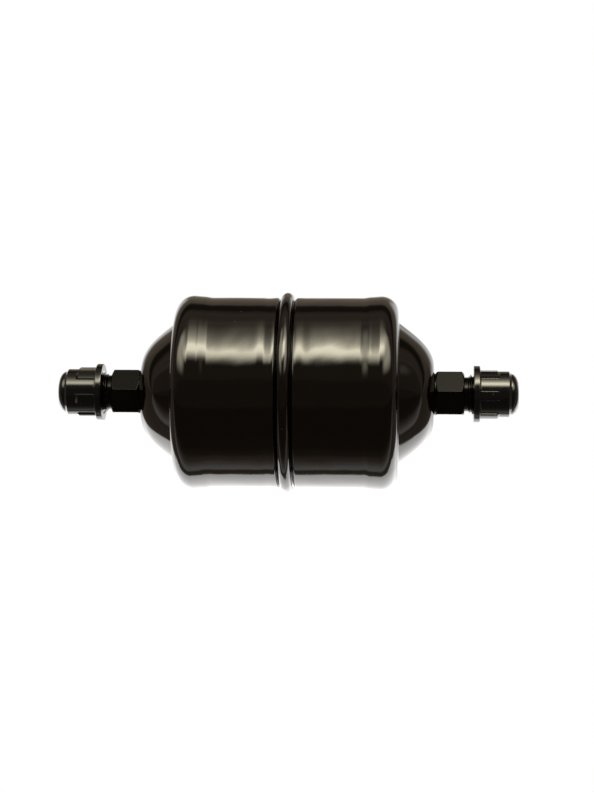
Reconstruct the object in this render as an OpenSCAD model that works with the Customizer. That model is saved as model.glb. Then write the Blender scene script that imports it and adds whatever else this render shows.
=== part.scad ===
// Hermetic filter drier: two pressed half shells welded round the middle, a flare fitting
// brazed into each end with a screwed plastic cap on it, and a drying core held inside by
// a spring. X runs along the axis from inlet (-X) to outlet (+X). The origin is on the
// axis at the middle of the seam. In each outline below, a point is [radius, distance
// from the seam along the axis].

/* [Shell] */
// Outside diameter of the straight wall
shell_d = 76; // [62:0.5:92]
// Thickness of the pressed steel
shell_wall = 2; // [1.4:0.1:2.6]
// Distance from the seam to the flat ring at the end of each half
half_len = 43.9; // [36:0.1:60]
// How far the end of each half swells out past the straight wall
swell = 0.7; // [0.5:0.05:1.2]
// How much of the swell is taken in a soft step
step_rise = 0.45; // [0.1:0.05:0.5]
// Length of the step
step_len = 4; // [2:0.5:8]
// Distance from the end ring back to the middle of the step
step_inset = 12.5; // [11:0.5:20]
// Outside radius of the corner between wall and end ring
corner_r = 6.8; // [5:0.1:9]
// Width of the flat ring between the corner and the dome
end_ring_w = 3.5; // [2.6:0.1:6]
// Slope of the dome's side, measured from the axis
dome_slope = 40; // [30:1:50]
// Outside radius where the dome turns over into its flat seat
nose_r = 12; // [8:0.5:14]
// Diameter of the flat seat that the fitting stands on
seat_d = 22.2; // [20.4:0.1:26]
// Radius in the angle between end ring and dome
root_fillet = 1.2; // [0.6:0.1:2]

/* [Seam] */
// Width of the weld bead at its foot
bead_w = 6; // [4:0.2:8]
// Radius of the bead's crown
bead_r = 2.5; // [1.8:0.1:2.6]
// Height of the crown above the straight wall
bead_rise = 2.1; // [1.2:0.1:2.4]
// Depth of the groove on each side of the bead
groove_depth = 1.2; // [0.6:0.1:1.3]
// Width of the ring that backs the weld on the inside
backing_w = 14; // [9:0.5:20]
// Thickness of the backing ring
backing_t = 1.1; // [0.6:0.1:1.8]

/* [Fittings] */
// Diameter of the passage through the fitting
passage_d = 7.1; // [5.6:0.1:8.4]
// Diameter of the spigot that goes through the end of the dome
spigot_d = 12; // [10:0.1:14]
// How far the spigot reaches into the shell past the wall
spigot_reach = 2; // [1:0.5:5]
// Diameter of the round collar under the hexagon
collar_d = 16.4; // [15:0.1:16.8]
// Length of the collar
collar_len = 0.6; // [0.4:0.1:1.5]
// How far the braze spreads out over the seat
braze_spread = 1.2; // [0.6:0.1:1.6]
// Size of the hexagon across its flats
hex_af = 17; // [17:0.5:22]
// Length of the hexagon
hex_len = 11.4; // [8:0.1:14]
// Length of the chamfer on the hexagon's inner end
hex_chamfer_in = 0.9; // [0.4:0.1:1.2]
// Length of the chamfer on the hexagon's outer end
hex_chamfer_out = 1.1; // [0.4:0.1:1.6]
// Turn of the hexagon's front edge, from +Z towards +Y
hex_turn = 6.5; // [-30:0.5:30]
// Length of the plain neck between hexagon and thread
neck_len = 1.4; // [1:0.1:4]
// Outside diameter of the thread
thread_d = 15.875; // [13:0.005:16.5]
// Depth of the neck below the thread's crest
thread_depth = 1.14; // [0.8:0.01:1.3]
// Length of the thread
thread_len = 13; // [9:0.5:18]
// Length of the plain land between thread and flare
land_len = 0.4; // [0.2:0.1:1.2]
// Width of the flat lip at the tip of the flare
flare_lip = 1.45; // [1:0.05:2]

/* [Caps] */
// Length of thread that the cap leaves bare
bare_thread = 2.2; // [1:0.1:4]
// Radial clearance between thread and cap
cap_clearance = 0.08; // [0.05:0.01:0.1]
// Wall of the cap round the thread
cap_wall = 1.18; // [1:0.02:2]
// How far the flange stands out from the cap
flange_rise = 2.15; // [1:0.05:3]
// Width of the flange at the cap's open end
flange_w = 2.6; // [1.6:0.1:4]
// Length of the slope from the flange into the cap's bore
mouth_len = 0.7; // [0.3:0.1:1.2]
// Number of grip ribs
rib_count = 6; // [4:1:10]
// How far a rib stands out from the cap
rib_rise = 0.75; // [0.4:0.05:1]
// Width of a rib
rib_w = 3.8; // [2:0.1:4.4]
// Length of a rib beyond the flange
rib_len = 7.6; // [4:0.1:9]
// Turn of the inlet cap's ribs, from +Z towards +Y
inlet_cap_turn = 43.8; // [0:0.1:60]
// Turn of the outlet cap's ribs, from +Z towards +Y
outlet_cap_turn = 56; // [0:0.1:60]
// Height of the slope at the cap's closed end
shoulder_h = 1; // [0.5:0.1:1.6]
// Height of the domed button at the cap's closed end
button_h = 3; // [2:0.1:3.4]
// Diameter of the flat on top of the button
button_flat_d = 6.4; // [3:0.1:8]
// Wall between the liner's pocket and the button
pocket_wall = 2.6; // [1.2:0.1:3]
// Thickness of the sealing liner
liner_t = 1; // [0.6:0.1:1.4]
// How far the liner reaches past the flare's lip
liner_overlap = 0.5; // [0.3:0.1:0.9]
// Radial play of the liner in its pocket
liner_play = 0.1; // [0.05:0.01:0.2]
// Thickness of the cap's closed end
cap_end_t = 2.66; // [2:0.01:3.5]

/* [Core] */
// Gap between the core and the backing ring
core_gap = 0.9; // [0.4:0.1:3]
// Chamfer round both ends of the core
core_chamfer = 1.5; // [0.5:0.1:3]
// Width of the felt ring that centres the core
felt_ring_w = 8; // [4:0.5:12]
// Distance from the core's inlet end to the felt ring
felt_ring_inset = 3; // [2:0.5:8]
// Thickness of the polyester pad
pad_t = 4; // [2:0.5:8]
// Thickness of the wire screen
screen_t = 0.5; // [0.3:0.1:1]
// Thickness of the two perforated plates
plate_t = 0.8; // [0.5:0.1:1.2]
// How far the perforated plates reach past the spring and the skirt
plate_lip = 2.8; // [1.5:0.1:3]
// Height of the skirt that the outlet plate stands on
skirt_h = 4.1; // [2:0.1:8]
// Diameter of the holes in the perforated plates
perforation_d = 3.2; // [2:0.1:4]
// Distance between the rings of holes
perforation_pitch = 7; // [5:0.5:9]
// Number of rings of holes round the middle one
perforation_rings = 3; // [1:1:4]

/* [Spring] */
// Length of the spring as fitted
spring_len = 14.5; // [11.5:0.5:22]
// Diameter of the spring wire
wire_d = 1.8; // [1.2:0.1:2.2]
// Turns between the two closed ends
active_turns = 2.5; // [1.5:0.25:3]

/* [Hidden] */
$fn = 96;

INLET = -1;
OUTLET = 1;
// gap between faces that meet but belong to pieces which move or press on each other
face_gap = 0.02;
// how far a cutter runs past the face that it cuts
cut_over = 1;

shell_r = shell_d / 2;
inner_r = shell_r - shell_wall;
swell_r = shell_r + swell;
corner_mid = [swell_r - corner_r, half_len - corner_r];
step_u = half_len - step_inset;
// slope at which the swelled wall runs into the corner
corner_slope = atan((swell - step_rise) / (step_inset - step_len / 2 - corner_r));
dome_root_r = corner_mid[0] - end_ring_w;
fillet_mid = [dome_root_r + root_fillet * (1 - sin(dome_slope)) / cos(dome_slope),
              half_len + root_fillet];
seat_r = seat_d / 2;
dome_h = (dome_root_r - seat_r - nose_r * cos(dome_slope)) / tan(dome_slope)
       + nose_r * (1 - sin(dome_slope));
seat_u = half_len + dome_h;
nose_mid = [seat_r, seat_u - nose_r];
end_inside_u = half_len - shell_wall;
groove_u = bead_w / 2;
groove_r = shell_r - groove_depth;

spigot_r = spigot_d / 2;
spigot_u = seat_u - shell_wall - spigot_reach;
passage_r = passage_d / 2;
collar_r = collar_d / 2;
hex_u = seat_u + collar_len;
hex_corner_r = hex_af / 2 / cos(30);
neck_u = hex_u + hex_len;
thread_r = thread_d / 2;
neck_r = thread_r - thread_depth;
thread_u = neck_u + neck_len;
thread_end_u = thread_u + thread_len;
// depth of the chamfer at each end of the thread
thread_chamfer = 0.8;
land_r = thread_r - thread_chamfer;
land_u = thread_end_u + thread_chamfer;
flare_u = land_u + land_len;
lip_r = passage_r + flare_lip;
// the flare's cone lies at 45 degrees, so its length equals the drop in radius
flare_tip_u = flare_u + land_r - lip_r;

liner_r = lip_r + liner_overlap;
pocket_r = liner_r + liner_play;
liner_u = flare_tip_u + face_gap;
pocket_end_u = liner_u + liner_t + face_gap;
cap_u = thread_u + bare_thread;
cap_end_u = pocket_end_u + cap_end_t;
cap_bore_r = thread_r + cap_clearance;
cap_r = cap_bore_r + cap_wall;
rib_r = cap_r + rib_rise;
flange_r = cap_r + flange_rise;
button_r = pocket_r + pocket_wall;
button_u = cap_end_u - button_h;

core_r = inner_r - backing_t - core_gap;
spring_end_u = -end_inside_u + face_gap + spring_len;
inlet_plate_u = spring_end_u + face_gap;
core_u = inlet_plate_u + plate_t;
outlet_plate_u = end_inside_u - face_gap - skirt_h - plate_t;
screen_u = outlet_plate_u - screen_t;
pad_u = screen_u - pad_t;
core_len = pad_u - core_u;
// middle of the flat ring inside each end, where the spring and the skirt stand
ledge_r = (fillet_mid[0] + corner_mid[0]) / 2;
plate_r = ledge_r + plate_lip;

// points of an arc round mid, from angle a0 to a1, counted from the radius towards the axis
function arc(mid, r, a0, a1, steps) =
    [for (i = [0 : steps]) let (a = a0 + (a1 - a0) * i / steps) mid + r * [cos(a), sin(a)]];

// the step is half a cosine wave, from the straight wall out to the swelled one
function step_outline(inset, steps) =
    [for (i = [0 : steps])
        [shell_r - inset + step_rise * (1 - cos(180 * i / steps)) / 2,
         step_u + step_len * (i / steps - 1 / 2)]];

// outside of a half shell, from the foot of its groove out to the hole for the fitting
function outer_outline() = concat(
    arc([groove_r, groove_u + groove_depth], groove_depth, -90, 0, 4),
    step_outline(0, 6),
    arc(corner_mid, corner_r, -corner_slope, 90, 12),
    arc(fillet_mid, root_fillet, 270, 180 + dome_slope, 4),
    arc(nose_mid, nose_r, dome_slope, 90, 10),
    [[spigot_r, seat_u]]);

// inside of the same half, one wall in from the outside all along
function inner_outline() = concat(
    [[inner_r, groove_u]],
    step_outline(shell_wall, 6),
    arc(corner_mid, corner_r - shell_wall, -corner_slope, 90, 12),
    arc(fillet_mid, root_fillet + shell_wall, 270, 180 + dome_slope, 4),
    arc(nose_mid, nose_r - shell_wall, dome_slope, 90, 10),
    [[spigot_r, seat_u - shell_wall]]);

// how far behind a face the middle of a ball lies that is of radius small at the face
// and of radius large at the given depth behind it
function ball_depth(small, large, depth) =
    (large * large - small * small + depth * depth) / (2 * depth);

function reversed(list) = [for (i = [len(list) - 1 : -1 : 0]) list[i]];

// lays a piece that is drawn along Z on the axis, pointing out of the named end
module at_end(end) rotate([0, end * 90, 0]) children();

// turn about the axis, from +Z towards +Y, of a piece that at_end lays down
function turned(end, angle) = [0, 0, -end * angle];

module ring(r_in, r_out, u, w)
    rotate_extrude() translate([r_in, u]) square([r_out - r_in, w]);

module half_shell(end)
    at_end(end) rotate_extrude()
        polygon(concat(outer_outline(), reversed(inner_outline())));

module inlet_shell() color([0.07, 0.07, 0.07]) half_shell(INLET);

module outlet_shell() color([0.07, 0.07, 0.07]) half_shell(OUTLET);

// rounded bead with a small foot each side that fills the bottom of the groove
module seam_weld() {
    crown = shell_r + bead_rise;
    side = [for (p = arc([crown - bead_r, 0], bead_r, 0, 90, 8)) p];
    outline = concat(side, [[groove_r, groove_u], [inner_r, groove_u]]);
    color([0.09, 0.09, 0.09]) at_end(OUTLET) rotate_extrude()
        polygon(concat(outline, reversed([for (p = outline) [p[0], -p[1]]])));
}

module backing_ring()
    color([0.55, 0.55, 0.56]) at_end(OUTLET)
        ring(inner_r - backing_t, inner_r, -backing_w / 2, backing_w);

// hexagon with its corners turned down at both ends, each to a part of a ball
module hexagon() {
    in_r = hex_af / 2 - hex_chamfer_in / 4;
    out_r = hex_af / 2 - hex_chamfer_out / 2;
    in_mid = ball_depth(in_r, hex_corner_r, hex_chamfer_in);
    out_mid = ball_depth(out_r, hex_corner_r, hex_chamfer_out);
    intersection() {
        translate([0, 0, hex_u]) cylinder(r = hex_corner_r, h = hex_len, $fn = 6);
        translate([0, 0, hex_u + in_mid]) sphere(r = norm([in_r, in_mid]));
        translate([0, 0, neck_u - out_mid]) sphere(r = norm([out_r, out_mid]));
    }
}

module fitting(end)
    at_end(end) difference() {
        union() {
            rotate_extrude() polygon([
                [0, spigot_u], [spigot_r, spigot_u], [spigot_r, seat_u],
                [collar_r, seat_u], [collar_r, hex_u], [neck_r, hex_u], [neck_r, thread_u],
                [thread_r, thread_u + thread_chamfer], [thread_r, thread_end_u],
                [land_r, land_u], [land_r, flare_u], [lip_r, flare_tip_u], [0, flare_tip_u]]);
            rotate(turned(end, hex_turn)) hexagon();
        }
        cylinder(r = passage_r, h = flare_tip_u + cut_over);
    }

module inlet_fitting() color([0.1, 0.1, 0.1]) fitting(INLET);

module outlet_fitting() color([0.1, 0.1, 0.1]) fitting(OUTLET);

// hollow fillet of braze in the angle between the seat and the collar
module braze_ring(end) {
    steps = 5;
    curve = [for (i = [0 : steps]) let (a = 90 * i / steps)
        [collar_r + braze_spread * (1 - sin(a)), seat_u + collar_len * (1 - cos(a))]];
    at_end(end) rotate_extrude() polygon(concat([[collar_r, seat_u]], curve));
}

module inlet_braze_ring() color([0.12, 0.11, 0.1]) braze_ring(INLET);

module outlet_braze_ring() color([0.12, 0.11, 0.1]) braze_ring(OUTLET);

// one grip rib with a sloping end, standing on the cap's wall
module rib() {
    root = cap_r - cap_wall / 2;
    rise = rib_r - root;
    translate([root, -rib_w / 2, cap_u + flange_w / 2])
        rotate([-90, 0, 0]) linear_extrude(rib_w)
            polygon([[0, 0], [rise, 0], [rise, rise - flange_w / 2 - rib_len],
                     [0, -flange_w / 2 - rib_len]]);
}

// the button's side is a quarter of an ellipse from its root to its flat
module cap(end, turn) {
    steps = 8;
    flat_r = button_flat_d / 2;
    button = [for (i = [0 : steps]) let (a = 90 * i / steps)
        [flat_r + (button_r - flat_r) * cos(a), button_u + button_h * sin(a)]];
    bore_end_u = flare_tip_u + pocket_r - cap_bore_r;
    at_end(end) {
        rotate_extrude() polygon(concat(
            [[cap_bore_r + mouth_len, cap_u], [flange_r, cap_u],
             [flange_r, cap_u + flange_w], [cap_r, cap_u + flange_w],
             [cap_r, button_u - shoulder_h]],
            button,
            [[0, cap_end_u], [0, pocket_end_u], [pocket_r, pocket_end_u],
             [pocket_r, flare_tip_u], [cap_bore_r, bore_end_u],
             [cap_bore_r, cap_u + mouth_len]]));
        rotate(turned(end, turn))
            for (i = [0 : rib_count - 1]) rotate([0, 0, 360 * i / rib_count]) rib();
    }
}

module inlet_cap() color([0.05, 0.05, 0.05]) cap(INLET, inlet_cap_turn);

module outlet_cap() color([0.05, 0.05, 0.05]) cap(OUTLET, outlet_cap_turn);

module cap_liner(end)
    at_end(end) translate([0, 0, liner_u]) cylinder(r = liner_r, h = liner_t);

module inlet_cap_liner() color([0.2, 0.2, 0.2]) cap_liner(INLET);

module outlet_cap_liner() color([0.2, 0.2, 0.2]) cap_liner(OUTLET);

// height of the wire's middle after a number of turns: one closed turn at each end
closed_pitch = wire_d * 1.04;
spring_turns = active_turns + 2;
active_pitch = (spring_len - wire_d - 2 * closed_pitch) / active_turns;
function wire_height(turns) =
    wire_d / 2 + closed_pitch * (min(turns, 1) + max(turns - 1 - active_turns, 0))
    + active_pitch * min(max(turns - 1, 0), active_turns);

// round wire carried along a helix, as rings of points joined into a tube
module core_spring() {
    rings = 24 * spring_turns;
    sides = 8;
    points = [for (i = [0 : rings]) for (j = [0 : sides - 1])
        let (a = 360 * spring_turns * i / rings, b = 360 * j / sides,
             r = ledge_r + wire_d / 2 * cos(b))
        [r * cos(a), r * sin(a), wire_height(spring_turns * i / rings) + wire_d / 2 * sin(b)]];
    walls = [for (i = [0 : rings - 1]) for (j = [0 : sides - 1])
        let (k = (j + 1) % sides, p = i * sides, q = p + sides)
        [p + j, q + j, q + k, p + k]];
    ends = [[for (j = [0 : sides - 1]) j], [for (j = [sides - 1 : -1 : 0]) rings * sides + j]];
    color([0.6, 0.6, 0.62]) at_end(OUTLET) translate([0, 0, -end_inside_u + face_gap])
        polyhedron(points = points, faces = concat(walls, ends));
}

// round holes in rings, six more in each ring than in the one inside it
module perforations(u) {
    for (k = [0 : perforation_rings])
        for (i = [0 : max(6 * k, 1) - 1])
            rotate([0, 0, 360 * i / max(6 * k, 1)])
                translate([perforation_pitch * k, 0, u - cut_over])
                    cylinder(d = perforation_d, h = plate_t + 2 * cut_over, $fn = 24);
}

module inlet_plate()
    color([0.62, 0.62, 0.64]) at_end(OUTLET) difference() {
        translate([0, 0, inlet_plate_u]) cylinder(r = plate_r, h = plate_t);
        perforations(inlet_plate_u);
    }

module drying_core()
    color([0.86, 0.83, 0.76]) at_end(OUTLET) rotate_extrude() polygon([
        [0, core_u], [core_r - core_chamfer, core_u], [core_r, core_u + core_chamfer],
        [core_r, core_u + core_len - core_chamfer],
        [core_r - core_chamfer, core_u + core_len], [0, core_u + core_len]]);

module core_felt_ring()
    color([0.8, 0.8, 0.74]) at_end(OUTLET)
        ring(core_r, inner_r, core_u + felt_ring_inset, felt_ring_w);

module filter_pad()
    color([0.9, 0.9, 0.88]) at_end(OUTLET)
        translate([0, 0, pad_u]) cylinder(r = core_r - core_chamfer, h = pad_t);

module outlet_screen()
    color([0.66, 0.66, 0.66]) at_end(OUTLET)
        translate([0, 0, screen_u]) cylinder(r = core_r - core_chamfer, h = screen_t);

// perforated plate that stands on the end of the shell by a round skirt
module outlet_plate()
    color([0.62, 0.62, 0.64]) at_end(OUTLET) {
        difference() {
            translate([0, 0, outlet_plate_u]) cylinder(r = plate_r, h = plate_t);
            perforations(outlet_plate_u);
        }
        ring(ledge_r - plate_t / 2, ledge_r + plate_t / 2, outlet_plate_u + plate_t / 2,
             skirt_h + plate_t / 2);
    }

inlet_shell();
outlet_shell();
seam_weld();
backing_ring();
inlet_fitting();
outlet_fitting();
inlet_braze_ring();
outlet_braze_ring();
inlet_cap();
outlet_cap();
inlet_cap_liner();
outlet_cap_liner();
core_spring();
inlet_plate();
drying_core();
core_felt_ring();
filter_pad();
outlet_screen();
outlet_plate();
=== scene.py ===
"""Refrigerant filter drier, two capped flare fittings on a welded shell.

Metres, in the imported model's frame: X runs through the drier from inlet to outlet, and
the seam weld lies round X = 0. The outlines below are in millimetres, as
[radius, distance from the seam], and are the same for both ends.
"""
import math

import bpy
import numpy as np
from mathutils import Matrix, Vector


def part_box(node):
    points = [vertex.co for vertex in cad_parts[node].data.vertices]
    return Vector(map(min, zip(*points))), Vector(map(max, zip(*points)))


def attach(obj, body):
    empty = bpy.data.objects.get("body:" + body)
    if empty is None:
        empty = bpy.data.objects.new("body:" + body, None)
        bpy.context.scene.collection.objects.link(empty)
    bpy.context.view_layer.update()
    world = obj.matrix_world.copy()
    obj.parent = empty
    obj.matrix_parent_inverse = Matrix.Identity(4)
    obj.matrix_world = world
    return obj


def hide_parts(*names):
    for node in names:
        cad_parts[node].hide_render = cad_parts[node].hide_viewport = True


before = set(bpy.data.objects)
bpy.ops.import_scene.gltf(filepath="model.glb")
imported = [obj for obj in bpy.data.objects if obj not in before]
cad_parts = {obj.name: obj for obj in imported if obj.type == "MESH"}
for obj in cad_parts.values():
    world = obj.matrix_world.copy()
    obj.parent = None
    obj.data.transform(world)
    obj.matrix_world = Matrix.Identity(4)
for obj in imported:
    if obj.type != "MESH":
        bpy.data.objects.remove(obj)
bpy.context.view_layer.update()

MM = 0.001
ENDS = {"inlet": -1, "outlet": 1}


def top(node):
    """Highest corner of a node's box, in millimetres."""
    return np.array(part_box(node)[1]) / MM


def foot(node):
    """Lowest corner of a node's box, in millimetres."""
    return np.array(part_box(node)[0]) / MM


# ---------------------------------------------------------------- sizes, millimetres
# An r is a radius, a u is a distance from the seam, and a turn is in degrees.

# half shells and weld bead
shell_r = 38.0
wall = 2.0
swell_r = 38.7
step_rise = 0.45
step_mid_u = 31.4
step_len = 4.0
corner_r = 6.8
corner_mid = (swell_r - corner_r, 37.1)
dome_slope = 40.0
dome_first = 37.5
root_fillet = 1.2
nose_r = 12.0
nose_mid_r = 11.1
seat_u = top("outlet_shell")[0]
crown_r = top("seam_weld")[2]
groove_depth = 1.2
groove_u = 3.0
bead_r = 2.5

# flare fittings
spigot_r = 6.0
spigot_u = foot("outlet_fitting")[0]
passage_r = 3.55
collar_r = 8.2
collar_len = 0.6
hex_u = seat_u + collar_len
hex_len = 11.4
hex_af = 17.0
hex_corner_r = hex_af / 2 / math.cos(math.radians(30))
hex_turn = 6.5
# each end of the hexagon: how deep its corners are cut, and how far the face's rim stands
# inside the flats
hex_cut_in = (0.9, 0.225)
hex_cut_out = (1.1, 0.55)
hex_edge_ease = 0.16
braze_w = 1.2
braze_h = 0.6
neck_u = hex_u + hex_len
neck_len = 1.4
thread_r = 7.9375
neck_r = 6.7975
thread_u = neck_u + neck_len
thread_len = 13.0
thread_end_u = thread_u + thread_len
thread_chamfer = 0.8
pitch = 25.4 / 18
thread_depth = 0.61 * pitch
flare_tip_u = top("outlet_fitting")[0]
lip_r = 5.0

# caps
cap_u = foot("outlet_cap")[0]
cap_end_u = top("outlet_cap")[0]
cap_gap = 0.08
cap_r = 9.1975
rib_rise = 0.75
rib_len = 7.6
rib_half_turn = 11.9
rib_side_turn = 1.6
rib_turn = 60.0
flange_r = 11.3475
flange_w = 2.6
button_r = 8.2
button_flat_r = 3.2
button_u = cap_end_u - 3.0
shoulder_h = 1.0
pocket_r = 5.6
pocket_end_u = top("outlet_cap_liner")[0] + 0.02
cap_turns = {"inlet": 43.8, "outlet": 56.0}
mouth_ease = 0.7

# core spring
spring_wire_r = 0.9
spring_turns = 4.5

# ---------------------------------------------------------------- outlines


def arc(mid, radius, start, stop, steps):
    """Arc about mid (radius, distance): degrees count from the radius towards the axis."""
    a = np.radians(np.linspace(start, stop, steps + 1))
    return np.column_stack([mid[0] + radius * np.cos(a), mid[1] + radius * np.sin(a)])


def line(p, q, steps):
    """Straight run from p to q in equal steps."""
    t = np.linspace(0, 1, steps + 1)[:, None]
    return (1 - t) * np.array(p, float) + t * np.array(q, float)


def join(*runs):
    """Runs laid end to end, with the doubled points dropped."""
    points = np.vstack([np.atleast_2d(np.array(r, float)) for r in runs])
    step = np.linalg.norm(np.diff(points, axis=0), axis=1)
    return points[np.concatenate([[True], step > 1e-6])]


def eased(corners, steps=5):
    """Outline through corners (radius, distance, easing): each corner is rounded by a
    circle of the easing's radius that touches both of its sides."""
    c = np.array([k[:2] for k in corners], float)
    ease = [k[2] for k in corners]
    out = [c[:1]]
    for i in range(1, len(c) - 1):
        back, on = c[i - 1] - c[i], c[i + 1] - c[i]
        lb, lo = np.linalg.norm(back), np.linalg.norm(on)
        back, on = back / lb, on / lo
        half = math.acos(np.clip(back @ on, -1, 1)) / 2
        if ease[i] <= 0 or half > 1.55:
            out.append(c[i:i + 1])
            continue
        reach = min(ease[i] / math.tan(half), 0.49 * lb, 0.49 * lo)
        radius = reach * math.tan(half)
        mid = c[i] + (back + on) / np.linalg.norm(back + on) * radius / math.sin(half)
        a, b = c[i] + back * reach - mid, c[i] + on * reach - mid
        sweep = math.atan2(a[0] * b[1] - a[1] * b[0], a @ b)
        t = np.linspace(0, sweep, steps + 1)[:, None]
        out.append(mid + a * np.cos(t) + np.array([-a[1], a[0]]) * np.sin(t))
    out.append(c[-1:])
    return join(*out)


def finer(outline, most):
    """The outline with its long straight runs cut into steps of at most this length."""
    runs = [line(p, q, max(1, int(np.linalg.norm(q - p) / most + 0.999)))
            for p, q in zip(outline[:-1], outline[1:])]
    return join(*runs)


def even(count):
    """Equal angles all the way round, in radians."""
    return np.linspace(0, 2 * np.pi, count, endpoint=False)


def gathered(sectors, count, focus, width, gain, turn):
    """Angles all the way round that crowd together at plus and minus focus degrees from
    the middle of each sector: the running sum of a bell-shaped density is inverted."""
    half = 180.0 / sectors
    fine = np.linspace(-half, half, 2001)
    density = 1 + gain * np.exp(-((np.abs(fine) - focus) / width) ** 2)
    total = np.concatenate([[0], np.cumsum((density[1:] + density[:-1]) / 2)])
    side = np.interp(np.linspace(0, total[-1], count, endpoint=False), total, fine)
    sector = 2 * half * np.arange(sectors)[:, None] + side[None, :]
    return np.radians(sector.ravel() + turn)


# ---------------------------------------------------------------- meshes


def make_piece(name, points, rings, body, finish, crease=35, replaces=()):
    """Mesh from a grid of points (rows, columns, 3) in millimetres. Columns close on
    themselves. rings is "loop" where the rows close too; otherwise the first and last
    row each shrink to one point, the pole. Faces are turned to point outwards by the
    sign of the volume that they enclose."""
    rows, cols = points.shape[:2]
    index = np.arange(rows * cols).reshape(rows, cols)
    if rings != "loop":
        index[0, :] = index[0, 0]
        index[-1, :] = index[-1, 0]
    used, index = np.unique(index, return_inverse=True)
    index = index.reshape(rows, cols)
    verts = points.reshape(-1, 3)[used] * MM
    nxt = np.roll(index, -1, axis=1)
    if rings == "loop":
        up, up_nxt = np.roll(index, -1, axis=0), np.roll(nxt, -1, axis=0)
        quads = np.stack([index, nxt, up_nxt, up], axis=-1).reshape(-1, 4)
        tris = np.zeros((0, 3), int)
    else:
        a, b = index[:-1], nxt[:-1]
        c, d = nxt[1:], index[1:]
        quads = np.stack([a[1:-1], b[1:-1], c[1:-1], d[1:-1]], axis=-1).reshape(-1, 4)
        first = np.stack([a[0], c[0], d[0]], axis=-1)
        last = np.stack([a[-1], b[-1], c[-1]], axis=-1)
        tris = np.vstack([first, last])
    flat = np.vstack([quads[:, [0, 1, 2]], quads[:, [0, 2, 3]], tris])
    p, q, r = (verts[flat[:, k]] for k in range(3))
    if np.einsum("ij,ij->", p, np.cross(q, r)) < 0:
        quads, tris = quads[:, ::-1], tris[:, ::-1]
    mesh = bpy.data.meshes.new(name)
    mesh.from_pydata(verts.tolist(), [], quads.tolist() + tris.tolist())
    mesh.shade_smooth()
    mesh.set_sharp_from_angle(angle=math.radians(crease))
    piece = bpy.data.objects.new(name, mesh)
    bpy.context.scene.collection.objects.link(piece)
    mesh.materials.append(finish)
    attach(piece, body)
    if replaces:
        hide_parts(*replaces)
    return piece


def carried_round(end, outline, angles, relief=None):
    """Points of a surface of revolution about X: the outline carried round the angles,
    which count from +Z towards +Y. relief(r, u, a) gives the radius where it varies."""
    r, u, a = outline[:, 0:1], outline[:, 1:2], angles[None, :]
    radius = r + 0 * a if relief is None else relief(r, u, a)
    return np.stack([end * (u + 0 * a), radius * np.sin(a), radius * np.cos(a)], axis=-1)


# ---------------------------------------------------------------- node tools


class Nodes:
    """Short ways to add and wire nodes in one node tree."""

    def __init__(self, tree):
        self.tree = tree

    def add(self, kind, inputs=None, **settings):
        """One node, with its settings, and its inputs as values or links."""
        node = self.tree.nodes.new(kind)
        for key, value in settings.items():
            setattr(node, key, value)
        for key, value in (inputs or {}).items():
            self.feed(node.inputs[key], value)
        return node

    def feed(self, socket, value):
        """A link where value is a socket, otherwise a constant."""
        if isinstance(value, bpy.types.NodeSocket):
            self.tree.links.new(value, socket)
        else:
            socket.default_value = value

    def math(self, operation, a, b=0.0, c=0.0, clamp=False):
        node = self.add("ShaderNodeMath", {0: a, 1: b, 2: c}, operation=operation)
        node.use_clamp = clamp
        return node.outputs[0]

    def step(self, value, low, high, out_low=0.0, out_high=1.0):
        """Smooth step of value from low to high, mapped to the two outputs."""
        node = self.add("ShaderNodeMapRange", {"Value": value, "From Min": low, "From Max": high,
                        "To Min": out_low, "To Max": out_high}, interpolation_type="SMOOTHSTEP")
        return node.outputs[0]

    def blend(self, factor, a, b):
        """Mix of two colours."""
        node = self.add("ShaderNodeMix", {"Factor": factor}, data_type="RGBA")
        self.feed(node.inputs[6], a)
        self.feed(node.inputs[7], b)
        return node.outputs[2]

    def noise(self, where, scale, detail=2.0, roughness=0.5):
        node = self.add("ShaderNodeTexNoise", {"Vector": where, "Scale": scale,
                        "Detail": detail, "Roughness": roughness})
        return node.outputs["Fac"]


def effect(name, inputs, outputs):
    """A node group with named sockets. Inputs are name: (kind, default)."""
    group = bpy.data.node_groups.new(name, "ShaderNodeTree")
    kinds = {"float": "NodeSocketFloat", "colour": "NodeSocketColor"}
    for key, (kind, default) in inputs.items():
        socket = group.interface.new_socket(key, in_out="INPUT", socket_type=kinds[kind])
        socket.default_value = default
    for key, kind in outputs.items():
        group.interface.new_socket(key, in_out="OUTPUT", socket_type=kinds[kind])
    n = Nodes(group)
    return group, n, n.add("NodeGroupInput"), n.add("NodeGroupOutput")


def paint_skin():
    """Height of a sprayed or moulded skin: fine orange peel and a slow sag under it."""
    group, n, given, out = effect(
        "paint_skin",
        {"Peel Scale": ("float", 700.0), "Peel Depth": ("float", 1.0),
         "Sag Scale": ("float", 70.0), "Sag Depth": ("float", 1.0)},
        {"Height": "float"})
    where = n.add("ShaderNodeTexCoord").outputs["Object"]
    peel = n.noise(where, given.outputs["Peel Scale"], 2.0, 0.55)
    sag = n.noise(where, given.outputs["Sag Scale"], 1.5, 0.4)
    height = n.math("MULTIPLY_ADD", peel, given.outputs["Peel Depth"],
                    n.math("MULTIPLY", sag, given.outputs["Sag Depth"]))
    n.feed(out.inputs["Height"], height)
    return group


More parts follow.
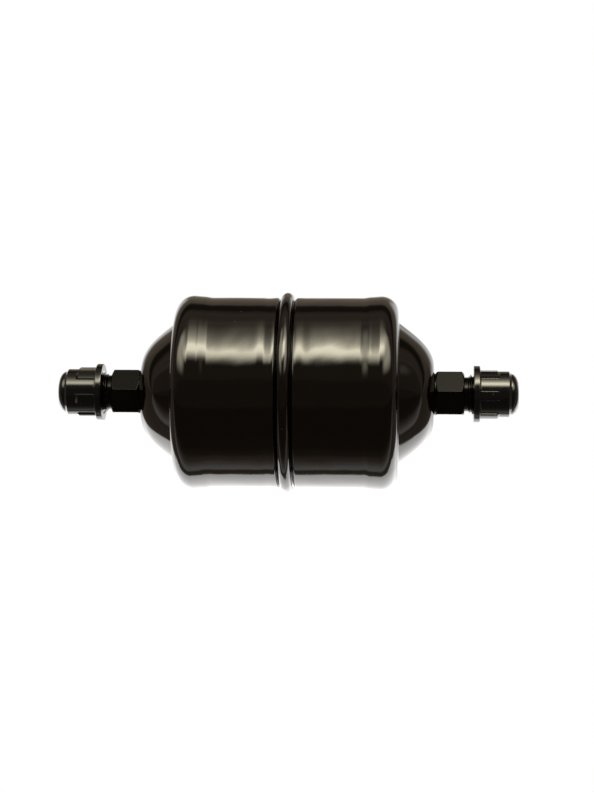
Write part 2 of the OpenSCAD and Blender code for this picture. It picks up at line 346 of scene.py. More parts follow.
def dust():
    """Mask of scattered bright specks, and a cloudy mask of faint smears."""
    group, n, given, out = effect(
        "dust",
        {"Speck Scale": ("float", 520.0), "Amount": ("float", 0.01),
         "Smear Scale": ("float", 40.0)},
        {"Specks": "float", "Smears": "float"})
    where = n.add("ShaderNodeTexCoord").outputs["Object"]
    cells = n.add("ShaderNodeTexVoronoi", {"Vector": where, "Scale": given.outputs["Speck Scale"]})
    pick = n.add("ShaderNodeSeparateColor", {"Color": cells.outputs["Color"]}).outputs[0]
    chosen = n.math("LESS_THAN", pick, given.outputs["Amount"])
    near = n.step(cells.outputs["Distance"], 0.04, 0.13, 1.0, 0.0)
    n.feed(out.inputs["Specks"], n.math("MULTIPLY", near, chosen))
    cloud = n.noise(where, given.outputs["Smear Scale"], 4.0, 0.6)
    n.feed(out.inputs["Smears"], n.step(cloud, 0.45, 0.75))
    return group


def edge_wear_and_highlight():
    """Mask of rubbed edges, which also serves as a painted highlight along them: where a
    wide bevel's normal leaves the surface's own normal, broken up by noise."""
    group, n, given, out = effect(
        "edge_wear_and_highlight",
        {"Width": ("float", 0.0005), "Break Scale": ("float", 900.0)},
        {"Mask": "float"})
    bevel = n.add("ShaderNodeBevel", {"Radius": given.outputs["Width"]})
    bevel.samples = 4
    own = n.add("ShaderNodeNewGeometry").outputs["Normal"]
    dot = n.add("ShaderNodeVectorMath", {0: bevel.outputs[0], 1: own}, operation="DOT_PRODUCT")
    off = n.step(dot.outputs["Value"], 0.86, 0.98, 1.0, 0.0)
    where = n.add("ShaderNodeTexCoord").outputs["Object"]
    broken = n.step(n.noise(where, given.outputs["Break Scale"], 3.0), 0.42, 0.62)
    n.feed(out.inputs["Mask"], n.math("MULTIPLY", off, broken))
    return group


def fibres():
    """Pressed felt: crossed stretched noise as height, and a cloudy shade."""
    group, n, given, out = effect(
        "fibres", {"Scale": ("float", 900.0)}, {"Height": "float", "Shade": "float"})
    where = n.add("ShaderNodeTexCoord").outputs["Object"]
    parts = []
    for turn in (0.3, 1.4, 2.5):
        laid = n.add("ShaderNodeMapping", {"Vector": where, "Rotation": (turn, turn * 0.7, turn),
                     "Scale": (1.0, 0.12, 1.0)})
        parts.append(n.noise(laid.outputs[0], given.outputs["Scale"], 2.0))
    height = n.math("MAXIMUM", n.math("MAXIMUM", parts[0], parts[1]), parts[2])
    n.feed(out.inputs["Height"], height)
    n.feed(out.inputs["Shade"], n.noise(where, 120.0, 3.0))
    return group


GROUPS = {"paint_skin": paint_skin(), "dust": dust(), "edge_wear_and_highlight": edge_wear_and_highlight(),
          "fibres": fibres()}


def placed(n, name, **values):
    """One of the effect groups in a material, with its own values."""
    node = n.add("ShaderNodeGroup", node_tree=GROUPS[name])
    for key, value in values.items():
        n.feed(node.inputs[key.replace("_", " ")], value)
    return node.outputs


def material(name):
    mat = bpy.data.materials.new(name)
    mat.use_nodes = True
    n = Nodes(mat.node_tree)
    shader = mat.node_tree.nodes["Principled BSDF"]
    return mat, n, shader


def bumped(n, shader, height, depth_mm, strength=1.0):
    """Feeds the shader's normal from a height that spans depth_mm millimetres."""
    bump = n.add("ShaderNodeBump", {"Height": height, "Strength": strength,
                 "Distance": depth_mm * MM})
    n.feed(shader.inputs["Normal"], bump.outputs[0])


def enamel(name, dark, edge_wear_and_highlight_colour, rough, peel, sag, speck_amount, wear_and_highlight_width, shine=0.5):
    """Black baked enamel on steel. The colour clouds a little between two near-blacks,
    specks of dust lie on it, edges are painted lighter as rubbed wear and as a painted
    highlight, and the skin has orange peel."""
    mat, n, shader = material(name)
    where = n.add("ShaderNodeTexCoord").outputs["Object"]
    cloud = n.noise(where, 55.0, 3.0)
    base = n.blend(cloud, (*dark, 1), (*[1.5 * c for c in dark], 1))
    spots = placed(n, "dust", Amount=speck_amount)
    wear_and_highlight = placed(n, "edge_wear_and_highlight", Width=wear_and_highlight_width)
    # edges painted lighter: rubbed wear, and a painted highlight along the edges
    base = n.blend(n.math("MULTIPLY", wear_and_highlight["Mask"], 0.25), base, (*edge_wear_and_highlight_colour, 1))
    base = n.blend(n.math("MULTIPLY", spots["Specks"], 0.5), base, (0.22, 0.21, 0.19, 1))
    n.feed(shader.inputs["Base Color"], base)
    dull = n.math("MULTIPLY_ADD", spots["Smears"], 0.03, rough)
    dull = n.math("MULTIPLY_ADD", spots["Specks"], 0.4, dull)
    n.feed(shader.inputs["Roughness"], n.math("MULTIPLY_ADD", wear_and_highlight["Mask"], 0.1, dull))
    skin = placed(n, "paint_skin", Peel_Depth=peel, Sag_Depth=sag)
    bumped(n, shader, skin["Height"], 0.01)
    shader.inputs["Specular IOR Level"].default_value = shine
    return mat


def moulded_plastic():
    """Glossy black moulded plastic with faint flow marks and a little dust."""
    mat, n, shader = material("black_cap_plastic")
    where = n.add("ShaderNodeTexCoord").outputs["Object"]
    spots = placed(n, "dust", Speck_Scale=420.0, Amount=0.03)
    base = n.blend(n.noise(where, 90.0, 3.0), (0.0012, 0.0011, 0.0010, 1), (0.004, 0.004, 0.004, 1))
    base = n.blend(n.math("MULTIPLY", spots["Specks"], 0.4), base, (0.2, 0.2, 0.19, 1))
    n.feed(shader.inputs["Base Color"], base)
    n.feed(shader.inputs["Roughness"], n.math("MULTIPLY_ADD", spots["Smears"], 0.06, 0.13))
    skin = placed(n, "paint_skin", Peel_Scale=500.0, Peel_Depth=0.6, Sag_Scale=120.0, Sag_Depth=2.0)
    bumped(n, shader, skin["Height"], 0.01)
    return mat


def grey_rubber():
    """Soft grey sealing rubber, matt, with a fine grain."""
    mat, n, shader = material("grey_seal_rubber")
    where = n.add("ShaderNodeTexCoord").outputs["Object"]
    grain = n.noise(where, 2500.0, 3.0)
    n.feed(shader.inputs["Base Color"],
           n.blend(grain, (0.09, 0.09, 0.09, 1), (0.15, 0.15, 0.145, 1)))
    n.feed(shader.inputs["Roughness"], n.math("MULTIPLY_ADD", grain, 0.2, 0.6))
    bumped(n, shader, grain, 0.03)
    return mat


def rolled_steel(name, tone, rough, line_scale, stretch):
    """Bare steel with drawn or rolled lines: noise stretched along one direction moves
    the roughness and the height, and a cloudy tone lies over it."""
    mat, n, shader = material(name)
    where = n.add("ShaderNodeTexCoord").outputs["Object"]
    laid = n.add("ShaderNodeMapping", {"Vector": where, "Scale": stretch}).outputs[0]
    lines = n.noise(laid, line_scale, 3.0)
    cloud = n.noise(where, 60.0, 3.0)
    n.feed(shader.inputs["Base Color"],
           n.blend(cloud, (*[0.8 * c for c in tone], 1), (*tone, 1)))
    shader.inputs["Metallic"].default_value = 1.0
    n.feed(shader.inputs["Roughness"], n.math("MULTIPLY_ADD", lines, 0.2, rough))
    bumped(n, shader, lines, 0.01)
    return mat


def wire_gauze():
    """Woven steel wire: two crossed waves make the over and under of the weave. The colour
    is darker where the wire dips under: painted shade.
    """
    mat, n, shader = material("woven_wire")
    where = n.add("ShaderNodeTexCoord").outputs["Object"]
    axes = n.add("ShaderNodeSeparateXYZ", {"Vector": where}).outputs
    warp = n.math("SINE", n.math("MULTIPLY", axes["Y"], 2 * math.pi / 0.0008))
    weft = n.math("SINE", n.math("MULTIPLY", axes["Z"], 2 * math.pi / 0.0008))
    weave = n.math("MULTIPLY", warp, weft)
    height = n.math("MULTIPLY_ADD", weave, 0.5, 0.5)
    # painted shade: the wire's colour is darker where the weave dips under
    n.feed(shader.inputs["Base Color"],
           n.blend(height, (0.16, 0.16, 0.16, 1), (0.62, 0.62, 0.6, 1)))
    shader.inputs["Metallic"].default_value = 1.0
    n.feed(shader.inputs["Roughness"], n.math("MULTIPLY_ADD", height, -0.2, 0.5))
    bumped(n, shader, height, 0.15)
    return mat


def moulded_core():
    """Moulded drying block: pale beads pressed together, with grains, and darker gaps that
    are painted shade between the beads.
    """
    mat, n, shader = material("drying_block")
    where = n.add("ShaderNodeTexCoord").outputs["Object"]
    beads = n.add("ShaderNodeTexVoronoi", {"Vector": where, "Scale": 900.0})
    gap = n.step(beads.outputs["Distance"], 0.25, 0.75)
    cloud = n.noise(where, 90.0, 4.0)
    base = n.blend(cloud, (0.70, 0.64, 0.54, 1), (0.82, 0.78, 0.70, 1))
    # painted shade: the gaps between the beads are coloured darker
    n.feed(shader.inputs["Base Color"], n.blend(gap, base, (0.42, 0.38, 0.31, 1)))
    n.feed(shader.inputs["Roughness"], n.math("MULTIPLY_ADD", gap, 0.1, 0.85))
    bumped(n, shader, n.math("SUBTRACT", 1.0, gap), 0.2)
    return mat


def pressed_felt():
    """Off-white pressed fibres."""
    mat, n, shader = material("pressed_felt")
    wool = placed(n, "fibres", Scale=900.0)
    n.feed(shader.inputs["Base Color"],
           n.blend(wool["Shade"], (0.72, 0.69, 0.60, 1), (0.88, 0.86, 0.80, 1)))
    n.feed(shader.inputs["Roughness"], n.math("MULTIPLY_ADD", wool["Height"], 0.1, 0.85))
    shader.inputs["Sheen Weight"].default_value = 0.3
    bumped(n, shader, wool["Height"], 0.25)
    return mat


BLACK = (0.0018, 0.0009, 0.0004)
shell_enamel = enamel("gloss_black_enamel", BLACK, edge_wear_and_highlight_colour=(0.012, 0.010, 0.008), rough=0.06,
                      peel=0.6, sag=24.0, speck_amount=0.010, wear_and_highlight_width=0.0004)
weld_enamel = enamel("weld_black_enamel", BLACK, edge_wear_and_highlight_colour=(0.02, 0.017, 0.014), rough=0.07,
                     peel=0.7, sag=3.0, speck_amount=0.010, wear_and_highlight_width=0.0003)
fitting_enamel = enamel("satin_black_enamel", (0.0026, 0.0016, 0.0010),
                        edge_wear_and_highlight_colour=(0.05, 0.045, 0.04), rough=0.13, peel=1.2, sag=2.0,
                        speck_amount=0.012, wear_and_highlight_width=0.0004, shine=0.09)
cap_plastic = moulded_plastic()
liner_rubber = grey_rubber()
bare_steel = rolled_steel("bare_sheet_steel", (0.55, 0.55, 0.56), 0.3, 900.0, (1.0, 0.08, 1.0))
spring_steel = rolled_steel("drawn_spring_wire", (0.6, 0.6, 0.62), 0.22, 1200.0,
                            (1.0, 0.3, 0.3))
gauze = wire_gauze()
core_block = moulded_core()
felt = pressed_felt()

# ---------------------------------------------------------------- half shells


def dome_curve(start, stop, first):
    """Run down the dome from start to stop (radius, distance). Its slope against the axis
    is first + (90 - first) * t ** power along its length, and the power is the one that
    ends the run on stop."""
    t = (np.arange(2000) + 0.5) / 2000
    powers = np.linspace(1, 8, 141)
    slopes = np.radians(first + (90 - first) * t[None, :] ** powers[:, None])
    reach = np.cos(slopes).sum(axis=1) / np.sin(slopes).sum(axis=1)
    power = np.interp((stop[1] - start[1]) / (start[0] - stop[0]), reach, powers)
    slope = np.radians(first + (90 - first) * t ** power)
    length = (start[0] - stop[0]) / np.sin(slope).sum()
    run = np.column_stack([start[0] - length * np.cumsum(np.sin(slope)),
                           start[1] + length * np.cumsum(np.cos(slope))])
    return join([start], run[39:-1:40], [stop])


def shell_outside():
    """Groove's rounded edge, plain wall, half-cosine step up, swelled corner, end ring,
    root fillet and dome."""
    t = np.linspace(0, 1, 17)
    step = np.column_stack([shell_r + step_rise * (1 - np.cos(np.pi * t)) / 2,
                            step_mid_u + step_len * (t - 0.5)])
    slope = math.degrees(math.atan((swell_r - shell_r - step_rise) / 3.7))
    ring_r = corner_mid[0] - 3.5
    fillet_r = ring_r + root_fillet * (1 - math.sin(math.radians(dome_slope))) \
        / math.cos(math.radians(dome_slope))
    end_u = corner_mid[1] + corner_r
    foot_of_dome = arc((fillet_r, end_u + root_fillet), root_fillet, 270, 180 + dome_first, 10)
    edge = (shell_r - groove_depth, groove_u + groove_depth)
    return finer(join(
        arc(edge, groove_depth, -90, 0, 10), step,
        arc(corner_mid, corner_r, -slope, 90, 40),
        foot_of_dome, dome_curve(foot_of_dome[-1], (nose_mid_r, seat_u), dome_first),
        [[spigot_r, seat_u]]), 0.9)


def shell_inside():
    """The outside moved in by the wall, with fewer points."""
    end_u = corner_mid[1] + corner_r
    return join([[shell_r - wall, groove_u], [shell_r - wall, step_mid_u - 2],
                 [shell_r - wall + step_rise, step_mid_u + 2]],
                arc(corner_mid, corner_r - wall, 0, 90, 10),
                [[29.0, end_u - wall], [27.3, end_u - wall + 0.7]],
                arc((nose_mid_r, seat_u - nose_r), nose_r - wall, dome_slope, 90, 10),
                [[spigot_r, seat_u - wall]])


def shell_relief(seed, neck):
    """Pressed sheet is never quite round: a few slow waves round and along the wall, and
    a shallow neck drawn in beside the weld. The waves fade out towards both ends."""
    rng = np.random.default_rng(seed)
    waves = [(rng.integers(2, 8), rng.uniform(0.12, 0.4), rng.uniform(0, 6.28), rng.uniform(0.4, 1))
             for _ in range(9)]

    def relief(r, u, a):
        ripple = sum(g * np.cos(k * a + m * u + p) for k, m, p, g in waves) / 9
        fade = np.clip((u - 4) / 6, 0, 1) * np.clip((seat_u - 6 - u) / 12, 0, 1)
        outer = (r > shell_r - wall / 2) | (u > 44)
        drawn = -neck * np.exp(-((u - 7.4) / 1.7) ** 2)
        return r + outer * (0.05 * ripple * fade + drawn)
    return relief


shell_outline = join(shell_outside(), shell_inside()[::-1])
for end, side in ENDS.items():
    neck = 0.16 if end == "inlet" else 0.05
    grid = carried_round(side, shell_outline, even(288), shell_relief(5 + side, neck))
    make_piece(f"{end}_half_shell", grid, "loop", "drier", shell_enamel,
               replaces=[f"{end}_shell"])

# ---------------------------------------------------------------- seam weld


def weld_outline():
    """Crown arc between two feet, closed under the wall by the weld's root."""
    crown = arc((crown_r - bead_r, 0), bead_r, -100, 100, 30)
    foot_r = shell_r - groove_depth
    return join([[shell_r - wall, -groove_u], [foot_r, -groove_u]], crown,
                [[foot_r, groove_u], [shell_r - wall, groove_u]])


def weld_relief(r, u, a):
    """Bead laid by a turning torch: slow changes of height round the seam, and long shallow
    swells that lean across it. Only the crown moves, and never above its height."""
    crown = np.clip((r - (shell_r - 0.6)) / 1.6, 0, 1)
    swells = 0.03 * (np.cos(29 * a - 0.8 * u) * np.cos(7 * a) - 1)
    slow = 0.08 * (np.cos(3 * a + 1.0) * np.cos(1.3 * u + 0.4) - 1)
    return r + crown * (swells + slow)


grid = carried_round(1, weld_outline(), even(720), weld_relief)
make_piece("seam_bead", grid, "loop", "drier", weld_enamel,
           replaces=["seam_weld"])

# ---------------------------------------------------------------- fittings


def thread_wave(u, a):
    """Radius of a 60 degree right-hand thread with a flat crest and root, from its phase
    along the axis: an eighth of the pitch is flat crest, and the flanks take 0.62 of it."""
    phase = (u / pitch - a / (2 * np.pi)) % 1.0
    away = np.abs(phase - 0.5) * 2
    return thread_r - thread_depth * np.clip((away - 0.125) / 0.62, 0, 1)


def fitting_outline():
    """Bore, spigot, collar, hexagon, neck, thread, flare and lip, as one closed run."""
    land_r = thread_r - thread_chamfer
    flare_u = flare_tip_u - (land_r - lip_r)
    thread_stop_u = thread_end_u + thread_chamfer
    body = eased([
        (passage_r, flare_tip_u - 0.3, 0), (passage_r + 0.3, flare_tip_u, 0.1),
        (lip_r, flare_tip_u, 0.15), (land_r, flare_u, 0.1),
        (land_r, thread_stop_u, 0)])[::-1]
    thread = line((thread_r, thread_u), (thread_r, thread_stop_u), 156)
    start = join(eased([(passage_r, spigot_u, 0), (spigot_r, spigot_u, 0.3),
                        (spigot_r, seat_u, 0)]),
                 [[collar_r, seat_u], [collar_r, hex_u]])
    hexagon = line((hex_corner_r, hex_u), (hex_corner_r, neck_u), 60)
    neck = eased([(neck_r, neck_u, 0), (neck_r, thread_u - 0.01, 0)])
    parts = [(start, "round"), (hexagon, "hexagon"), (finer(neck, 0.4), "round"),
             (thread, "thread"), (body, "round")]
    kinds = np.concatenate([np.full(len(p), k) for p, k in parts])
    return np.vstack([p for p, _ in parts]), kinds


def softest(values, ease):
    """Smallest of several surfaces with their meeting edges eased: each pair is mixed
    where they are closer than the ease."""
    out = values[0]
    for v in values[1:]:
        h = np.clip(0.5 + (v - out) / (2 * ease), 0, 1)
        out = v * (1 - h) + out * h - ease * h * (1 - h)
    return out


def hexagon_radius(u, a):
    """Six flats, each apothem / cos of the angle from its middle, cut down at both ends
    by balls that leave a round face there."""
    flats = [hex_af / 2 / np.maximum(np.cos(a - math.radians(hex_turn + 30 + 60 * k)), 0.2)
             for k in range(6)]
    cuts = []
    for (depth, inset), face in ((hex_cut_in, hex_u), (hex_cut_out, neck_u)):
        r = hex_af / 2 - inset
        mid = (hex_corner_r ** 2 - r ** 2 + depth ** 2) / (2 * depth)
        ball = math.hypot(r, mid)
        cuts.append(np.sqrt(ball ** 2 - (mid - np.abs(u - face)) ** 2) + 0 * a)
    return softest([*flats, *cuts], hex_edge_ease)


def fitting_relief(kinds, end):
    """Radius of each part of the fitting at its own angle."""
    kinds = kinds[:, None]

    def relief(r, u, a):
        start = neck_r + (u - thread_u)
        stop = np.maximum(thread_r - (u - thread_end_u), thread_r - thread_chamfer)
        wave = np.minimum(np.minimum(thread_wave(u, -ENDS[end] * a), start), stop)
        wave = np.maximum(wave, neck_r)
        round_part = np.where(kinds == "thread", wave, r + 0 * a)
        return np.where(kinds == "hexagon", hexagon_radius(u, a), round_part)
    return relief


outline, kinds = fitting_outline()
around = gathered(6, 30, focus=30, width=4.0, gain=6.0, turn=hex_turn + 30)
for end, side in ENDS.items():
    grid = carried_round(side, outline, around, fitting_relief(kinds, end))
    make_piece(f"{end}_flare_fitting", grid, "loop", "drier", fitting_enamel,
               crease=28, replaces=[f"{end}_fitting"])
    # hollow fillet of braze in the angle between the dome's seat and the collar
    curve = arc((collar_r + braze_w, seat_u + braze_h), braze_w, 180, 270, 8)
    curve[:, 1] = seat_u + (curve[:, 1] - seat_u + braze_h) * braze_h / braze_w
    fillet = join(curve, [[collar_r, seat_u]])
    grid = carried_round(side, fillet, even(192))
    make_piece(f"{end}_braze_fillet", grid, "loop", "drier", shell_enamel,
               replaces=[f"{end}_braze_ring"])

# ---------------------------------------------------------------- caps


def cap_outline():
    """Threaded bore, mouth, flange, ribbed wall, shoulder, button and the pocket inside."""
    bore_r = thread_r + cap_gap
    mouth_u = cap_u + mouth_ease
    bore_end_u = flare_tip_u - (bore_r - pocket_r)
    outside = eased([
        (bore_r, mouth_u, 0), (bore_r + mouth_ease, cap_u, 0.15), (flange_r, cap_u, 0.35),
        (flange_r, cap_u + flange_w, 0.45), (cap_r, cap_u + flange_w, 0.5),
        (cap_r, button_u - shoulder_h, 0.35), (button_r, button_u, 0)], 6)
    t = np.linspace(0, np.pi / 2, 22)
    button = np.column_stack([button_flat_r + (button_r - button_flat_r) * np.cos(t),
                              button_u + (cap_end_u - button_u) * np.sin(t)])
    inside = eased([(0.05, pocket_end_u, 0), (pocket_r, pocket_end_u, 0.2),
                    (pocket_r, flare_tip_u, 0.1), (bore_r, bore_end_u, 0)])
    steps = int((bore_end_u - mouth_u) / pitch * 10)
    bore = line((bore_r, bore_end_u), (bore_r, mouth_u), steps)
    skin = join(finer(outside, 0.5), button, line((button_flat_r, cap_end_u), (0, cap_end_u), 6))
    hollow = join([[0, pocket_end_u]], inside, bore)
    return skin, hollow, bore_end_u


def cap_relief(turn, end, bore_end_u):
    """Six grip ribs that stand on the wall from the flange and slope down at their ends,
    and the thread in the bore, one clearance outside the fitting's own."""
    def relief(r, u, a):
        off = (np.degrees(a) - turn + rib_turn / 2) % rib_turn - rib_turn / 2
        width = np.clip((rib_half_turn - np.abs(off)) / rib_side_turn, 0, 1)
        width = width * width * (3 - 2 * width)
        far_end = cap_u + flange_w + rib_len
        length = np.clip((far_end - u) / rib_rise, 0, 1)
        wall = (np.abs(r - cap_r) < 0.3) & (u > cap_u + flange_w - 0.2) & (u < button_u - 0.4)
        ribbed = np.maximum(r, cap_r + rib_rise * width * length)
        bore = (np.abs(r - thread_r - cap_gap) < 1e-6) & (u <= bore_end_u + 1e-6)
        wave = thread_wave(u, -ENDS[end] * a) + cap_gap
        run_in = np.clip((u - cap_u - mouth_ease) / 0.9, 0, 1)
        fade = run_in * np.clip((bore_end_u - u) / 0.9, 0, 1)
        cut = r - (r - wave) * fade
        return np.where(wall, ribbed, np.where(bore, cut, r + 0 * a))
    return relief


skin, hollow, bore_end_u = cap_outline()
for end, side in ENDS.items():
    around = gathered(6, 46, focus=11.1, width=1.6, gain=4.0, turn=cap_turns[end])
    # one pole is the middle of the button, and the other is the middle of the pocket
    run = np.vstack([skin[::-1], hollow[::-1]])
    grid = carried_round(side, run, around, cap_relief(cap_turns[end], end, bore_end_u))
    make_piece(f"{end}_screw_cap", grid, "poles", f"{end}_cap", cap_plastic,
               crease=30, replaces=[f"{end}_cap"])
    low, high = flare_tip_u + 0.02, pocket_end_u - 0.02
    disc = eased([(0, low, 0), (5.5, low, 0.25), (5.5, high, 0.25), (0, high, 0)])
    grid = carried_round(side, finer(disc, 0.8), even(96))
    make_piece(f"{end}_seal_disc", grid, "poles", f"{end}_seal", liner_rubber,
               replaces=[f"{end}_cap_liner"])

# ---------------------------------------------------------------- inside the shell


def spring_surface(rows, cols):
    """Round wire carried along a helix: closed turns at both ends, open ones between.
    The ends are closed by rounding the wire down to a point."""
    low, high, wire = foot("core_spring"), top("core_spring"), spring_wire_r
    length, radius = high[0] - low[0], high[2] - wire
    closed, open_turns = 2 * wire * 1.04, spring_turns - 2
    t = np.linspace(0, spring_turns, rows)
    rise = (length - 2 * wire - 2 * closed) / open_turns
    x = low[0] + wire + closed * (np.minimum(t, 1) + np.maximum(t - 1 - open_turns, 0)) \
        + rise * np.clip(t - 1, 0, open_turns)
    a = 2 * np.pi * t
    from_end = np.clip(np.minimum(t, spring_turns - t) / 0.012, 0, 1)
    taper = np.sqrt(np.clip(1 - (1 - from_end) ** 2, 0, 1))
    b = np.linspace(0, 2 * np.pi, cols, endpoint=False)[None, :]
    r = radius + (wire * taper)[:, None] * np.cos(b)
    return np.stack([x[:, None] + (wire * taper)[:, None] * np.sin(b),
                     r * np.sin(a)[:, None], r * np.cos(a)[:, None]], axis=-1)


make_piece("pressure_spring", spring_surface(620, 14), "poles", "drier",
           spring_steel, replaces=["core_spring"])


def pad_surface(node, crown, cols):
    """Soft disc in the node's box: both faces crown out towards the middle and dimple
    over the plate's holes, and the rim is round."""
    low, high = foot(node), top(node)
    radius, thick = high[2], high[0] - low[0]
    ease = thick * 0.45
    corners = [(0, 0, 0), (radius, 0, ease), (radius, thick, ease), (0, thick, 0)]
    face = finer(eased(corners, 8), 1.4)
    grid = carried_round(1, face, even(cols))
    y, z = grid[..., 1], grid[..., 2]
    dimple = 0.5 + 0.5 * np.cos(2 * np.pi * y / 7) * np.cos(2 * np.pi * z / 7)
    deep = crown * (0.35 + 0.65 * dimple) * (1 - (np.hypot(y, z) / radius) ** 4)
    side = np.where(grid[..., 0] < thick / 2, 1, -1)
    grid[..., 0] += low[0] + side * (crown - np.clip(deep, 0, crown))
    return grid


pad = make_piece("felt_filter_pad", pad_surface("filter_pad", 0.35, 144), "poles", "drier",
                 felt, replaces=["filter_pad"])


def felt_band():
    """Pressed ring round the core: it bulges a little into the gap between the two."""
    low, high, ease = foot("core_felt_ring"), top("core_felt_ring"), 0.5
    outer, inner = high[2], high[2] - 2.0
    section = finer(eased([(inner, low[0] + 2, 0), (inner, low[0], ease), (outer, low[0], ease),
                           (outer, high[0], ease), (inner, high[0], ease),
                           (inner, low[0] + 2.1, 0)], 6), 1.0)

    def bulges(r, u, a):
        return r - 0.06 * (1 + np.cos(9 * a)) * (r > outer - 0.4)
    return carried_round(1, section, even(192), bulges)


band = make_piece("felt_seal_ring", felt_band(), "loop", "drier", felt,
                  replaces=["core_felt_ring"])

for node, finish in (("backing_ring", bare_steel), ("inlet_plate", bare_steel),
                     ("outlet_plate", bare_steel), ("outlet_screen", gauze),
                     ("drying_core", core_block)):
    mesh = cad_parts[node].data
    mesh.materials.clear()
    mesh.materials.append(finish)

# ---------------------------------------------------------------- studio


# brightness of the studio round the drier: (degrees from +Z towards +Y, how softly the
# change comes, level from there on). It starts underneath and turns by the near side,
# overhead and the far side, back to underneath.
ROUND_LIGHT = [
    (-169, 9, 3.2), (-114, 1.5, 0.2), (-104.5, 1.5, 0.8), (-96, 4, 0.52), (-89, 4, 0.28),
    (-81, 4, 0.12), (-72, 5, 0.075), (-55, 9, 0.065), (-17, 3, 0.11), (16, 2, 0.16),
    (90, 4, 0.35), (95, 3, 0.27), (110, 2, 0.19), (115, 3, 0.05), (130, 3.5, 0.35),
    (165, 7, 1.2)]


def studio_light():
    """Soft studio seen by the surfaces: a dim warm room, a round softbox up towards +Y
    that is brightest along its lower edge, a panel at each end, and a pale sweep below
    with a dark far edge. The camera sees plain white, and diffuse light is even."""
    world = bpy.data.worlds.new("studio")
    bpy.context.scene.world = world
    world.use_nodes = True
    n = Nodes(world.node_tree)
    world.node_tree.nodes.clear()
    way = n.add("ShaderNodeTexCoord").outputs["Generated"]
    axes = n.add("ShaderNodeSeparateXYZ", {"Vector": way}).outputs
    turn = n.math("MULTIPLY", n.math("ARCTAN2", axes["Y"], axes["Z"]), 180 / math.pi)

    def towards(level, factor, goal):
        """Level moved towards the goal by the factor."""
        return n.math("MULTIPLY_ADD", n.math("SUBTRACT", goal, level), factor, level)

    def product(*factors):
        out = factors[0]
        for f in factors[1:]:
            out = n.math("MULTIPLY", out, f)
        return out

    level = 1.3
    for angle, soft, goal in ROUND_LIGHT:
        level = towards(level, n.step(turn, angle - soft, angle + soft), goal)
    # the pale sweep's edge runs straight along X, and curls in below both ends
    side = n.math("ABSOLUTE", axes["X"])
    curl = n.math("MAXIMUM", n.math("SUBTRACT", 0.59, n.math("ABSOLUTE", axes["Y"])), 0.0)
    depth = n.math("MULTIPLY_ADD", curl, 0.75, axes["Z"])
    level = towards(0.2, n.math("MAXIMUM", n.step(depth, -0.38, -0.43),
                                product(n.step(turn, -114, -112), n.step(turn, 160, 135))),
                    level)
    under = product(n.step(axes["Z"], -0.68, -0.9, 0.0, 1.3), n.step(side, 0.1, 0.35))
    level = n.math("MAXIMUM", level, under)
    # round softbox: degrees from its middle, a soft lower edge, and a fade up its face
    middle = math.radians(68)
    aim = n.add("ShaderNodeVectorMath", {0: way, 1: (0.0, math.sin(middle), math.cos(middle))},
                operation="DOT_PRODUCT").outputs["Value"]
    off = n.math("MULTIPLY", n.math("ARCCOSINE", aim), 180 / math.pi)
    aslant = n.math("ADD", turn, n.step(axes["X"], -0.14, 0.02, 6.5, -6.5))
    fade = n.math("POWER", 2.0, n.math("DIVIDE", n.math("SUBTRACT", 52.0, aslant), 7.0))
    box = product(n.step(off, 37, 15, 0.0, 17.0), n.step(aslant, 28, 47),
                  n.math("MINIMUM", fade, 1.0))
    panel = product(n.step(side, 0.15, 0.6, 0.0, 5.0), n.step(side, 0.97, 0.85),
                    n.step(axes["Y"], 0.3, 0.6), n.step(axes["Z"], 0.02, 0.3))
    box = n.math("ADD", box, panel)

    def tinted(value, tint):
        return n.add("ShaderNodeCombineColor",
                     {k: n.math("MULTIPLY", value, c) for k, c in enumerate(tint)}).outputs[0]

    # the dim part of the room is warm, and the pale sweep is neutral
    pale = n.step(level, 0.3, 0.9)
    room = n.blend(pale, tinted(level, (1.0, 0.8, 0.6)), tinted(level, (1.0, 0.99, 0.98)))
    seen = n.add("ShaderNodeMix", {"Factor": 1.0}, data_type="RGBA", blend_type="ADD")
    n.feed(seen.inputs[6], room)
    n.feed(seen.inputs[7], tinted(box, (1.0, 0.93, 0.71)))
    rays = n.add("ShaderNodeLightPath").outputs
    colour = n.blend(rays["Is Glossy Ray"], (0.6, 0.6, 0.6, 1), seen.outputs[2])
    colour = n.blend(rays["Is Camera Ray"], colour, (1, 1, 1, 1))
    light = n.add("ShaderNodeBackground", {"Color": colour, "Strength": 1.0})
    out = n.add("ShaderNodeOutputWorld")
    n.feed(out.inputs["Surface"], light.outputs[0])


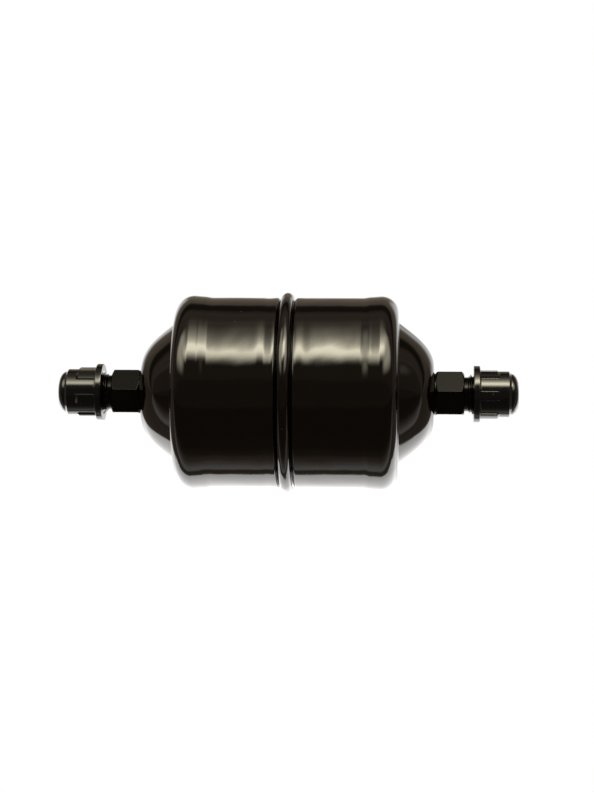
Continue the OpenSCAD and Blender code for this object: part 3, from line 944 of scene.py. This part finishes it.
def table_top():
    """Plain white table under the drier. It darkens only close under the drier, a painted
    contact shadow, and is clear from below."""
    size, level = 3.0, -crown_r * MM
    mesh = bpy.data.meshes.new("table_top")
    mesh.from_pydata([(-size, -size, level), (size, -size, level), (size, size, level),
                      (-size, size, level)], [], [(0, 1, 2, 3)])
    floor = bpy.data.objects.new("table_top", mesh)
    bpy.context.scene.collection.objects.link(floor)
    mat = bpy.data.materials.new("white_table_painted_shadow")
    mat.use_nodes = True
    n = Nodes(mat.node_tree)
    mat.node_tree.nodes.clear()
    # painted contact shadow: the table's glow is darkened by ambient occlusion close under the
    # drier
    near = n.add("ShaderNodeAmbientOcclusion", {"Distance": 0.013})
    near.samples = 16
    shade = n.step(near.outputs["AO"], 0.0, 1.0, 0.55, 1.0)
    tint = n.blend(shade, (0.35, 0.35, 0.37, 1), (1, 1, 1, 1))
    glow = n.add("ShaderNodeEmission", {"Color": tint, "Strength": 1.0})
    clear = n.add("ShaderNodeBsdfTransparent")
    under = n.add("ShaderNodeNewGeometry").outputs["Backfacing"]
    mix = n.add("ShaderNodeMixShader", {0: under})
    n.feed(mix.inputs[1], glow.outputs[0])
    n.feed(mix.inputs[2], clear.outputs[0])
    out = n.add("ShaderNodeOutputMaterial")
    n.feed(out.inputs["Surface"], mix.outputs[0])
    mesh.materials.append(mat)
    floor.visible_glossy = False
    floor.visible_diffuse = False
    floor.visible_shadow = False


def camera():
    """Long lens from above, leaning a little towards the outlet."""
    lens, distance = 103.0, 0.9
    aside, below = 0.0036, 0.00101
    lean, roll = math.radians(3.1), math.radians(0.36)
    back = Vector((math.sin(lean), 0, math.cos(lean)))
    right = Vector((math.cos(lean), 0, -math.sin(lean)))
    up = Vector((0, 1, 0))
    spot = back * distance + right * aside - up * below
    data = bpy.data.cameras.new("camera")
    data.lens = lens
    data.clip_start, data.clip_end = 0.01, 20
    data.dof.use_dof = False
    cam = bpy.data.objects.new("camera", data)
    bpy.context.scene.collection.objects.link(cam)
    turn = Matrix((right, up, back)).transposed() @ Matrix.Rotation(roll, 3, "Z")
    cam.matrix_world = Matrix.Translation(spot) @ turn.to_4x4()
    bpy.context.scene.camera = cam


studio_light()
table_top()
camera()
bpy.context.scene.view_settings.view_transform = "Standard"

bpy.context.view_layer.update()
